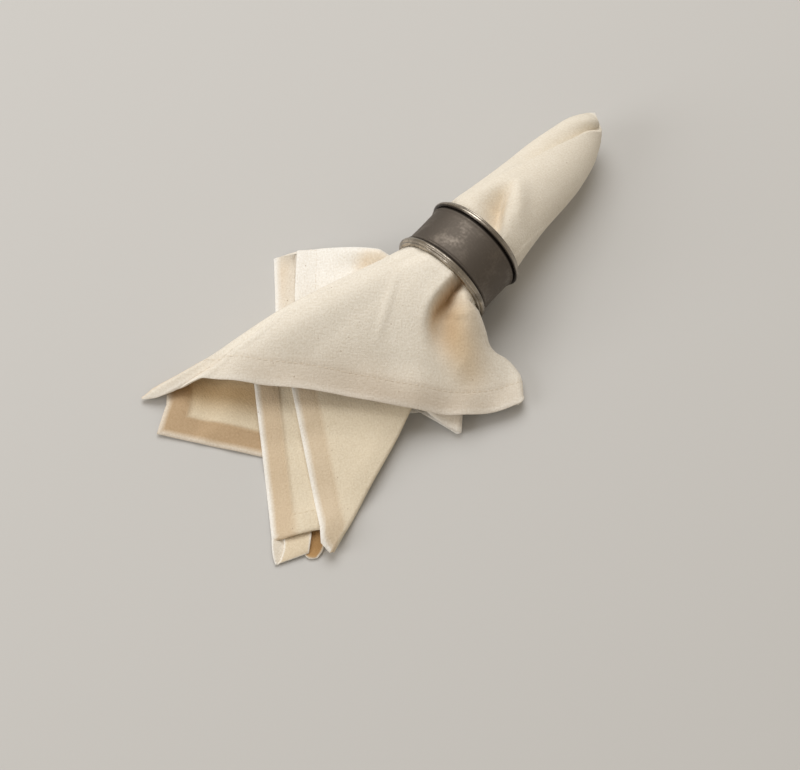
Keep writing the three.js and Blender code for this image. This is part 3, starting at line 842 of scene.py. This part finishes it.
def add_map(made, name, places):
    """A map that gives each point of a piece a flat place."""
    corner = np.zeros(len(made.data.loops), int)
    made.data.loops.foreach_get("vertex_index", corner)
    made.data.uv_layers.new(name=name).data.foreach_set("uv", places[corner].ravel())


def off_table(points):
    """Points kept a hair above the table."""
    points = np.array(points)
    points[:, 2] = np.maximum(points[:, 2], HAIR)
    return points


def make_cloth(material):
    columns, grid, inset = cloth_grid()
    rows, across = grid.shape[:2]
    normals = grid_normals(grid)
    outer, inner = hem_profile(inset)
    end = np.array([TIP_END])
    outside = grid + normals * outer
    inside = grid - normals * inner
    points = np.concatenate([outside.reshape(-1, 3), inside.reshape(-1, 3), end, end - [[CLOTH, 0, 0]]])
    count = rows * across
    quads = np.concatenate([loop_faces(rows, across, flip=True), loop_faces(rows, across, count)])
    i = np.arange(across)
    k = (i + 1) % across
    edge = np.stack([i, k, k + count, i + count], 1)
    last = (rows - 1) * across
    tip_out = np.stack([last + k, last + i, np.full(across, 2 * count)], 1)
    tip_in = np.stack([count + last + i, count + last + k, np.full(across, 2 * count + 1)], 1)
    faces = [*quads.tolist(), *edge.tolist(), *tip_out.tolist(), *tip_in.tolist()]
    made = add_mesh("napkin_cloth", off_table(points), faces, material)
    flat = cloth_map(columns, grid, len(HEM_ROWS) + BODY_ROWS)
    corners = np.concatenate([flat[:, ::-1], flat]).reshape(-1, 2)
    places = np.zeros((len(made.data.loops), 2))
    places[:len(corners)] = corners
    made.data.uv_layers.new(name="cloth").data.foreach_set("uv", places.ravel())
    tints = cloth_tints(columns, grid, inset)
    add_tints(made, {name: [*shown.ravel(), *shown.ravel(), 0, 0] for name, shown in tints.items()})
    return made, stitch_lines(outside, inside, normals, inset, tints)


def stitch_lines(outside, inside, normals, inset, tints):
    """Lines of the stitches' places on both faces of the cloth, with their normals and the painted shade
    tints there.
    """
    row = np.argmax(inset >= STITCH_INSET, axis=0)
    i = np.arange(inset.shape[1])
    t = (STITCH_INSET - inset[row - 1, i]) / (inset[row, i] - inset[row - 1, i])
    found = []
    for face, side in ((outside, 1), (inside, -1)):
        line = mix(face[row - 1, i], face[row, i], t[:, None])
        shown = {name: tints[name][row, i] for name in PIECE_TINTS}
        found.append((line, side * normals[row, i], shown))
    return found


def make_stitches(lines, material):
    """Short rounded stitches along lines on the cloth, joined in one mesh."""
    turn = np.linspace(0, 2 * np.pi, STITCH_SIDES, endpoint=False)
    stations = np.linspace(-1, 1, STITCH_RINGS)
    points = []
    faces = []
    tints = {name: [] for name in PIECE_TINTS}
    for line, normals, shown in lines:
        closed = np.vstack([line, line[:1]])
        steps = np.linalg.norm(np.diff(closed, axis=0), axis=1)
        at = np.concatenate([[0], np.cumsum(steps)])
        for place in np.arange(0, at[-1], STITCH_PITCH):
            i = int(np.searchsorted(at, place, side="right") - 1)
            along = (closed[i + 1] - closed[i]) / steps[i]
            up = unit(normals[i] - along * (normals[i] @ along))
            aside = np.cross(up, along)
            middle = closed[i] + along * (place - at[i])
            base = len(points)
            # Each stitch takes the painted shade tints of the cloth under it.
            for name, values in tints.items():
                values += [shown[name][i]] * (STITCH_RINGS * STITCH_SIDES)
            for s in stations:
                thick = np.sqrt(max(1 - s**4, STITCH_BLUNT)) * STITCH_THICK / 2
                centre = middle + along * s * STITCH_LENGTH / 2
                points += [centre + aside * thick * np.cos(a) + up * thick * np.sin(a) for a in turn]
            faces += loop_faces(STITCH_RINGS, STITCH_SIDES, base).tolist()
            last = base + (STITCH_RINGS - 1) * STITCH_SIDES
            faces += [[*range(base, base + STITCH_SIDES)][::-1], [*range(last, last + STITCH_SIDES)]]
    made = add_mesh("hem_stitches", off_table(points), faces, material)
    add_tints(made, tints)
    return made


def end_sheet(sheet):
    """Rows of points between a sheet's two soft sides, with its rounded end, and how far they lie from its
    sides and end."""
    left = soft_curve(np.array(sheet["left"], float), END_STEPS)
    right = soft_curve(np.array(sheet["right"], float), END_STEPS)
    share = (1 - np.cos(np.linspace(0, np.pi, END_LINES))) / 2
    grid = mix(left[:, None], right[:, None], share[None, :, None])
    along = np.linspace(0, 1, len(grid))[:, None]
    outwards = unit(grid[-1] - grid[-2])
    rounded = sheet["bulge"] * along**3 * 4 * share * (1 - share)
    grid = grid + rounded[..., None] * outwards
    width = np.linalg.norm(grid[:, -1] - grid[:, 0], axis=1)[:, None]
    length = np.linalg.norm(grid[-1] - grid[0], axis=1)
    inset = np.minimum(np.minimum(share, 1 - share) * width, (1 - along) * length)
    return grid, inset


def make_strip_end(material):
    """The rolled end of the narrow strip: thin closed sheets with rounded edges, joined in one mesh."""
    points = []
    faces = []
    tints = {name: [] for name in PIECE_TINTS}
    for sheet in END_SHEETS:
        grid, inset = end_sheet(sheet)
        rows, across = grid.shape[:2]
        normals = unit(np.cross(np.gradient(grid, axis=1), np.gradient(grid, axis=0)))
        normals *= np.sign(normals[..., 2:])
        nose = rounded_edge(inset, END_CLOTH / 2, END_NOSE_LEAST)[..., None]
        top = grid + normals * nose * END_CLOTH / 2
        bottom = grid - normals * nose * END_CLOTH / 2
        base = len(points)
        count = rows * across
        j, i = np.meshgrid(np.arange(rows - 1), np.arange(across - 1), indexing="ij")
        a = base + (j * across + i).ravel()
        quads = np.stack([a, a + 1, a + across + 1, a + across], 1)
        rim = [*range(across), *range(2 * across - 1, count, across)]
        rim += [*range(count - 2, count - across - 1, -1), *range(count - 2 * across, 0, -across)]
        rim = [base + p for p in rim]
        faces += quads[:, ::-1].tolist() + (quads + count).tolist()
        faces += [(p, q, q + count, p + count) for p, q in zip(rim, rim[1:] + rim[:1])]
        points += [*top.reshape(-1, 3), *bottom.reshape(-1, 3)]
        # Painted shade tints of each sheet, fading towards its edges.
        for name, values in tints.items():
            values += [*(sheet[name] * smooth(inset / END_PALE)).ravel()] * 2
    points = off_table(points)
    made = add_mesh("strip_end", points, faces, material)
    add_map(made, "cloth", points[:, :2])
    add_tints(made, tints)
    return made


def lathe(name, profile, material):
    """A ring turned round the ring's axis from a closed profile of places along the axis and radii."""
    turn = np.linspace(0, 2 * np.pi, RING_SIDES, endpoint=False)[:, None]
    x = np.broadcast_to(profile[:, 0], (RING_SIDES, len(profile)))
    dents = sum(size * np.sin(waves * turn + shift + x * lean) for waves, size, shift, lean in RING_DENTS)
    radius = profile[:, 1] + dents
    grid = np.stack([x, radius * np.cos(turn), np.maximum(RING_HEIGHT + radius * np.sin(turn), 0)], -1)
    count = len(profile)
    faces = loop_faces(RING_SIDES, count).tolist()
    last = (RING_SIDES - 1) * count
    faces += [(last + i, last + (i + 1) % count, (i + 1) % count, i) for i in range(count)]
    made = add_mesh(name, grid.reshape(-1, 3), faces, material)
    around = np.repeat(np.arange(RING_SIDES), count) * (2 * np.pi * BAND_RADIUS / RING_SIDES)
    add_map(made, "ring", np.column_stack([around, np.tile(profile[:, 0], RING_SIDES)]))
    return made


def band_profile():
    x = np.linspace(-BAND_HALF, BAND_HALF, BAND_STEPS)
    waist = BAND_WAIST * (1 - (x / BAND_HALF) ** 2)
    bead = BAND_LINE_HIGH * np.exp(-(((np.abs(x) - BAND_LINE_X) / BAND_LINE_WIDE) ** 2))
    outer = np.column_stack([x, BAND_RADIUS - waist + bead])
    inner = np.array([(BAND_HALF, BAND_INNER), (0, BAND_INNER), (-BAND_HALF, BAND_INNER)])
    return np.concatenate([outer, inner])


def rim_profile(side):
    """Main bead of a rim, with a thin lip on its outer side."""
    x = np.linspace(RIM_START, RIM_END, RIM_STEPS)
    radius = np.full(len(x), RIM_INNER + RIM_WALL)
    for bead in RIM_BEADS:
        inside = np.clip(bead["size"] ** 2 - (x - bead["x"]) ** 2, 0, None)
        radius = np.maximum(radius, np.where(inside > 0, bead["radius"] + np.sqrt(inside), 0))
    outer = np.column_stack([x, radius])
    inner = np.array([(RIM_END, RIM_INNER), ((RIM_START + RIM_END) / 2, RIM_INNER), (RIM_START, RIM_INNER)])
    profile = np.concatenate([outer, inner])
    return profile if side > 0 else profile[::-1] * [-1, 1]


class Shader:
    """Short calls that add shader nodes to one new material with a single principled surface."""

    def __init__(self, name):
        self.material = bpy.data.materials.new(name)
        self.material.use_nodes = True
        self.tree = self.material.node_tree
        self.surface = self.tree.nodes["Principled BSDF"]

    def put(self, socket, value):
        if isinstance(value, bpy.types.NodeSocket):
            self.tree.links.new(value, socket)
        else:
            socket.default_value = (*value, 1) if socket.type == "RGBA" else value

    def finish(self, values):
        for name, value in values.items():
            self.put(self.surface.inputs[name], value)
        return self.material

    def add(self, kind, inputs, **settings):
        """Outputs of a new node with these settings and inputs."""
        node = self.tree.nodes.new("ShaderNode" + kind)
        for name, value in settings.items():
            setattr(node, name, value)
        for name, value in inputs.items():
            self.put(node.inputs[name], value)
        return node.outputs

    def stretched(self, places, scale_x, scale_y, degrees=0):
        turn = (0, 0, math.radians(degrees))
        scale = (scale_x, scale_y, 1)
        return self.add("Mapping", {"Vector": places, "Rotation": turn, "Scale": scale})["Vector"]

    def noise(self, places, scale, detail=2, output="Fac"):
        return self.add("TexNoise", {"Vector": places, "Scale": scale, "Detail": detail})[output]

    def parts(self, vector):
        found = self.add("SeparateXYZ", {"Vector": vector})
        return found["X"], found["Y"]

    def sum(self, operation, a, b=0):
        return self.add("Math", {0: a, 1: b}, operation=operation)["Value"]

    def weighted(self, *parts):
        """Sum of values, each times its weight."""
        values = [self.sum("MULTIPLY", value, weight) for value, weight in parts]
        total = values[0]
        for value in values[1:]:
            total = self.sum("ADD", total, value)
        return total

    def range(self, value, low, high, to_low=0, to_high=1):
        inputs = {"Value": value, "From Min": low, "From Max": high, "To Min": to_low, "To Max": to_high}
        return self.add("MapRange", inputs, interpolation_type="SMOOTHSTEP")["Result"]

    def blend(self, factor, a, b, way="MIX"):
        return self.add("Mix", {0: factor, 6: a, 7: b}, data_type="RGBA", blend_type=way)[2]

    def bump(self, height, strength, distance):
        inputs = {"Height": height, "Strength": strength, "Distance": distance * MM}
        return self.add("Bump", inputs)["Normal"]


def cotton_material(name, light, dark):
    """Plain-weave cotton: crossing threads, thick and thin places, cloudy colour and brown flecks."""
    shader = Shader(name)
    flat = shader.add("UVMap", {}, uv_map="cloth")["UV"]
    wander = {0: shader.noise(flat, 0.3, 2, "Color"), 1: (THREAD_WANDER, THREAD_WANDER, 0), 2: flat}
    threads = shader.add("VectorMath", wander, operation="MULTIPLY_ADD")["Vector"]
    across, along = shader.parts(threads)
    warp = shader.sum("SINE", shader.sum("MULTIPLY", across, 2 * math.pi / WARP_PITCH))
    weft = shader.sum("SINE", shader.sum("MULTIPLY", along, 2 * math.pi / WEFT_PITCH))
    weave = shader.sum("MULTIPLY", warp, weft)
    warp_slub = shader.noise(shader.stretched(threads, 2, 0.28), 1)
    weft_slub = shader.noise(shader.stretched(threads, 0.28, 1.8), 1)
    slub = shader.sum("ADD", warp_slub, weft_slub)
    grain = shader.noise(flat, 1.3, 3)
    relief = shader.weighted((weave, 0.3), (slub, 0.9), (grain, 1.9))
    cloudy = shader.noise(flat, 0.05, 3)
    tone = shader.weighted((slub, 0.4), (cloudy, 0.4), (grain, 1.2))
    colour = shader.blend(shader.range(tone, 0.75, 1.65), dark, light)
    # Tints from the points multiply the colour: painted shade.
    for tint, value in SHADE_TINTS.items():
        share = shader.add("Attribute", {}, attribute_name=tint)["Fac"]
        colour = shader.blend(share, colour, value, "MULTIPLY")
    spread = {"Vector": shader.stretched(threads, 0.1, 0.16, 25), "Scale": 1}
    spots = shader.add("TexVoronoi", spread, voronoi_dimensions="2D")
    fleck = shader.range(spots["Distance"], FLECK_SIZE, FLECK_SIZE / 3)
    chosen = shader.range(shader.parts(spots["Color"])[0], 0.75, 1, 0, 0.8)
    colour = shader.blend(shader.sum("MULTIPLY", fleck, chosen), colour, FLECK_COLOUR)
    return shader.finish({
        "Base Color": colour,
        "Roughness": 0.92,
        "Specular IOR Level": 0.15,
        "Sheen Weight": 0.12,
        "Sheen Roughness": 0.5,
        "Normal": shader.bump(relief, 0.55, 0.22),
    })


def metal_material(name, clean, tarnish, clean_share, roughness, pitted):
    """Old silver: cloudy tarnish, worn patches, fine scratches both ways and small pits."""
    shader = Shader(name)
    flat = shader.add("UVMap", {}, uv_map="ring")["UV"]
    clouds = shader.noise(flat, 0.11, 5)
    specks = shader.noise(flat, 0.9, 4)
    scratches = shader.noise(shader.stretched(flat, 0.12, 3.5, 14), 1, 3)
    strokes = shader.noise(shader.stretched(flat, 2.6, 0.1, -9), 1, 3)
    worn = shader.weighted((clouds, 0.75), (specks, 0.25))
    worn = shader.range(worn, 0.56 - clean_share * 0.3, 0.82 - clean_share * 0.3)
    colour = shader.blend(worn, tarnish, clean)
    lines = shader.sum("MAXIMUM", shader.range(scratches, 0.66, 0.74), shader.range(strokes, 0.68, 0.76))
    colour = shader.blend(shader.sum("MULTIPLY", lines, 0.5), colour, clean)
    along_axis = shader.sum("ABSOLUTE", shader.parts(flat)[1])
    in_joint = [shader.range(along_axis, *ends) for ends in (JOINT_STARTS, JOINT_ENDS)]
    joint = shader.sum("MULTIPLY", *in_joint)
    colour = shader.blend(joint, colour, JOINT_COLOUR)
    rough = shader.range(shader.sum("ADD", worn, specks), 0.2, 1.5, roughness + 0.12, roughness - 0.08)
    relief = shader.weighted((lines, -0.6), (specks, 1))
    return shader.finish({
        "Base Color": colour,
        "Metallic": 1,
        "Roughness": rough,
        "Normal": shader.bump(relief, pitted, 0.08),
    })


COTTON = cotton_material("unbleached_cotton", (0.98, 0.97, 0.94), (0.83, 0.79, 0.72))
THREAD = cotton_material("cotton_thread", (0.86, 0.81, 0.73), (0.78, 0.72, 0.63))
OLD_SILVER = metal_material("old_silver", (0.192, 0.165, 0.139), (0.155, 0.134, 0.115), 0.3, 0.56, 0.35)
BRIGHT_SILVER = metal_material("bright_silver", (0.45, 0.405, 0.345), (0.2, 0.175, 0.145), 0.7, 0.33, 0.12)

cloth, stitch_places = make_cloth(COTTON)
stitches = make_stitches(stitch_places, THREAD)
strip_end = make_strip_end(COTTON)
ring_pieces = {
    "ring_band": (lathe("ring_shell", band_profile(), OLD_SILVER), "old_silver"),
    "ring_rim_front": (lathe("ring_bead_front", rim_profile(-1), BRIGHT_SILVER), "bright_silver"),
    "ring_rim_back": (lathe("ring_bead_back", rim_profile(1), BRIGHT_SILVER), "bright_silver"),
}
for node, (piece, slot) in ring_pieces.items():
    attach(piece, "root")
    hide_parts(node)
for piece in (cloth, stitches, strip_end):
    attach(piece, "root")
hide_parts("napkin")

# Stage: a pale floor, soft lights from the far side and from the left, and the camera.
FLOOR_HALF = 3
FLOOR_COLOUR = (0.575, 0.57, 0.56)
WORLD_COLOUR = (1, 0.9, 0.76)
WORLD_LIGHT = 0.42
LIGHTS = table(
    "name azimuth elevation distance size power",
    ("key", 50, 57, 1.6, 1.4, 16),
    ("side", 150, 28, 1.6, 0.9, 7.5),
)
LENS = 90
SENSOR = 36
CAMERA_DISTANCE = 0.8
CAMERA_ELEVATION = 66.5
CAMERA_AZIMUTH = -139
CAMERA_TARGET = RING_PLACE + Vector((-48.6, -11.3, 0)) * MM


def make_floor():
    mesh = bpy.data.meshes.new("floor")
    corners = [(-1, -1), (1, -1), (1, 1), (-1, 1)]
    mesh.from_pydata([(x * FLOOR_HALF, y * FLOOR_HALF, 0) for x, y in corners], [], [(0, 1, 2, 3)])
    shader = Shader("pale_floor")
    mesh.materials.append(shader.finish({"Base Color": FLOOR_COLOUR, "Roughness": 0.8}))
    made = add_object("floor", mesh)


def facing_target(name, data, azimuth, elevation, distance):
    """An object that faces the camera's target from a direction in degrees."""
    a = math.radians(azimuth)
    e = math.radians(elevation)
    towards = Vector((math.cos(a) * math.cos(e), math.sin(a) * math.cos(e), math.sin(e)))
    made = add_object(name, data)
    made.location = CAMERA_TARGET + towards * distance
    made.rotation_euler = towards.to_track_quat("Z", "Y").to_euler()
    return made


def make_light():
    world = bpy.data.worlds.new("studio")
    world.use_nodes = True
    sky = world.node_tree.nodes["Background"].inputs
    sky["Color"].default_value = (*WORLD_COLOUR, 1)
    sky["Strength"].default_value = WORLD_LIGHT
    scene.world = world
    for row in LIGHTS:
        light = bpy.data.lights.new(row["name"], "AREA")
        light.shape = "DISK"
        light.size = row["size"]
        light.energy = row["power"]
        facing_target(row["name"], light, row["azimuth"], row["elevation"], row["distance"])


def make_camera():
    camera = bpy.data.cameras.new("camera")
    camera.lens = LENS
    camera.sensor_width = SENSOR
    scene.camera = facing_target("camera", camera, CAMERA_AZIMUTH, CAMERA_ELEVATION, CAMERA_DISTANCE)


make_floor()
make_light()
make_camera()
scene.view_settings.view_transform = "Standard"
